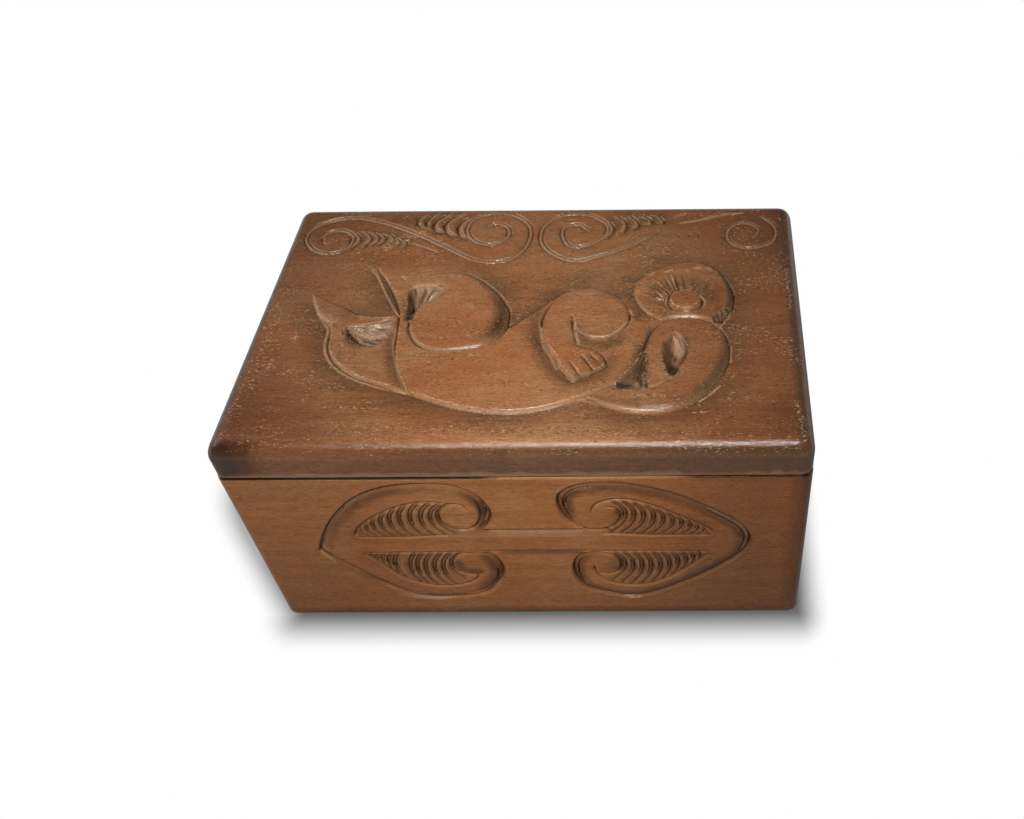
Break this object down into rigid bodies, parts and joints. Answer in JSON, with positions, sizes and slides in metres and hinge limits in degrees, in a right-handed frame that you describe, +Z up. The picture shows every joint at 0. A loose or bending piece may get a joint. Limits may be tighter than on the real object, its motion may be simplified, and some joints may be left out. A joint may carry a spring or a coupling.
{
  "type": "hinged keepsake box",
  "caption": "Low rectangular wooden box with a hinged slab lid, relief-carved on the lid and the front with scrolls and a bird-headed figure.",
  "frame": {"origin": "middle of the box's underside", "axes": "+Z up, +X along the width to the viewer's right, -Y towards the carved front"},
  "size_m": [0.2, 0.1341, 0.0996],
  "materials": {
    "stained_wood": "satin reddish-brown stain over carved wood, darker in the cuts",
    "floor_wood": "plain stained wood, matt",
    "brass": "lightly tarnished brass",
    "pin_steel": "plain drawn steel"
  },
  "bodies": {
    "box": {"front_board": "stained_wood", "back_board": "stained_wood", "left_board": "stained_wood", "right_board": "stained_wood", "bottom_board": "floor_wood", "hinge_left_body_leaf": "brass", "hinge_left_pin": "pin_steel", "screw_left_body_1": "brass", "screw_left_body_2": "brass", "screw_left_body_3": "brass", "hinge_right_body_leaf": "brass", "hinge_right_pin": "pin_steel", "screw_right_body_1": "brass", "screw_right_body_2": "brass", "screw_right_body_3": "brass"},
    "lid": {"lid_board": "stained_wood", "hinge_left_lid_leaf": "brass", "screw_left_lid_1": "brass", "screw_left_lid_2": "brass", "screw_left_lid_3": "brass", "hinge_right_lid_leaf": "brass", "screw_right_lid_1": "brass", "screw_right_lid_2": "brass", "screw_right_lid_3": "brass"}
  },
  "joints": [
    {"name": "lid_hinge", "type": "hinge", "parent": "box", "child": "lid", "pos_m": [0, 0.06625, 0.0846], "axis": [-1, 0, 0], "range_deg": [0, 180]}
  ]
}
